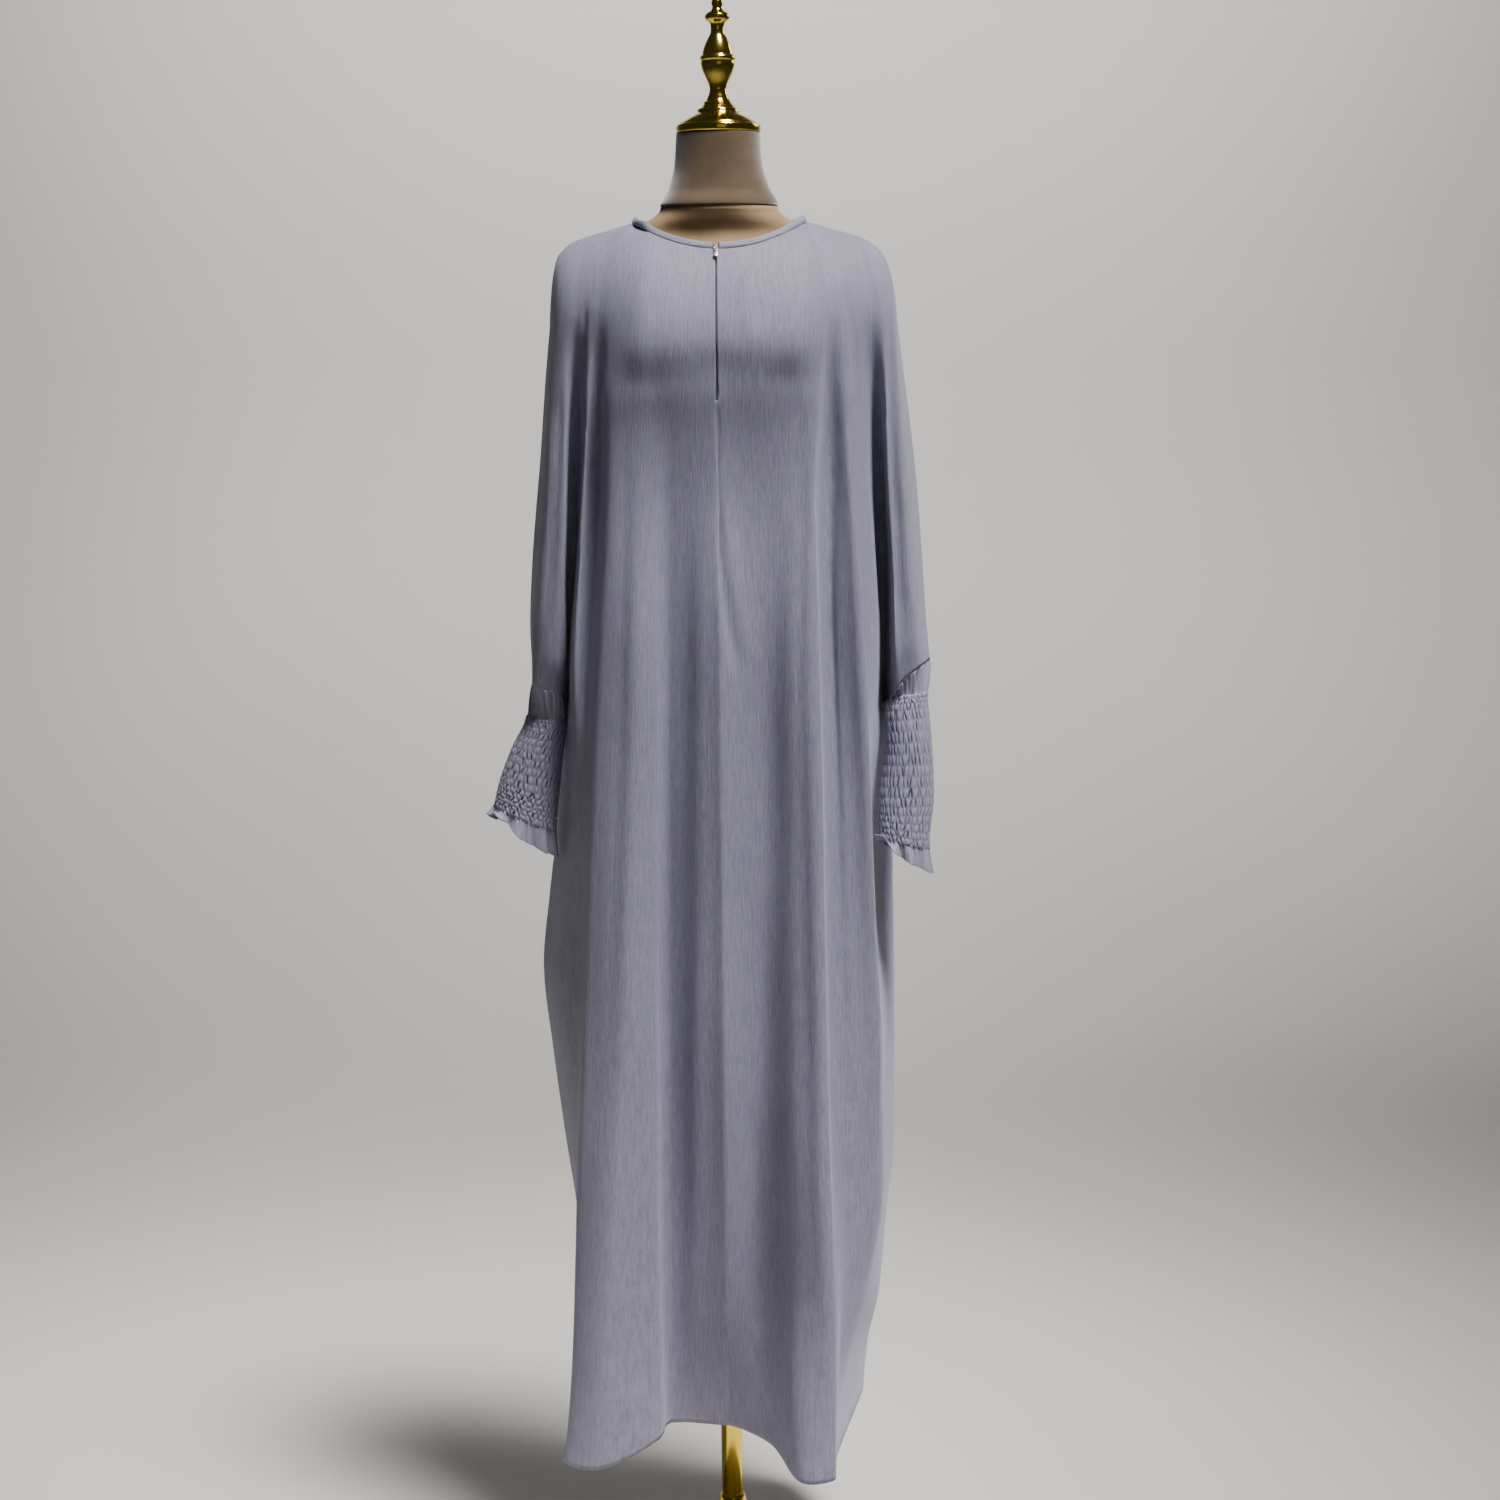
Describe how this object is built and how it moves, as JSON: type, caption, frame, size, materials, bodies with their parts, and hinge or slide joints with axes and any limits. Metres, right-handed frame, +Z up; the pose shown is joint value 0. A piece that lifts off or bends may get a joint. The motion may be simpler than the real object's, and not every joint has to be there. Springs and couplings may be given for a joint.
{
  "type": "jilbab on a dress form stand",
  "caption": "Long butterfly-cut crepe jilbab with smocked ruffled cuffs, bound round neck and a short front zip, worn on a limbless dress form with a pole stand.",
  "frame": {"origin": "middle of the underside of the stand's base, on the floor", "axes": "+Z up along the pole, -Y the front of the garment, +X the wearer's left"},
  "size_m": [0.509, 0.3793, 1.825],
  "materials": {
    "crepe": "fine crinkled crepe, soft sheen",
    "zip_metal": "small bright metal parts",
    "linen": "plain linen cover",
    "velvet": "short-napped velvet cover",
    "gold": "polished gold-coloured metal"
  },
  "bodies": {
    "form_and_cloth": {"front": "crepe", "back": "crepe", "cuff_right": "crepe", "cuff_left": "crepe", "neck_binding_right": "crepe", "neck_binding_left": "crepe", "zip_tape": "crepe", "zip_slider": "zip_metal", "form_body": "linen", "form_neck": "velvet", "form_cap": "gold", "form_finial": "gold", "stand_pole": "gold", "stand_collar": "gold", "stand_base": "gold"},
    "pull": {"zip_pull": "zip_metal"}
  },
  "joints": [
    {"name": "pull_swing", "type": "hinge", "parent": "form_and_cloth", "child": "pull", "pos_m": [-0.0035, -0.0726, 1.55113], "axis": [-1, 0, 0], "range_deg": [0, 150]}
  ]
}
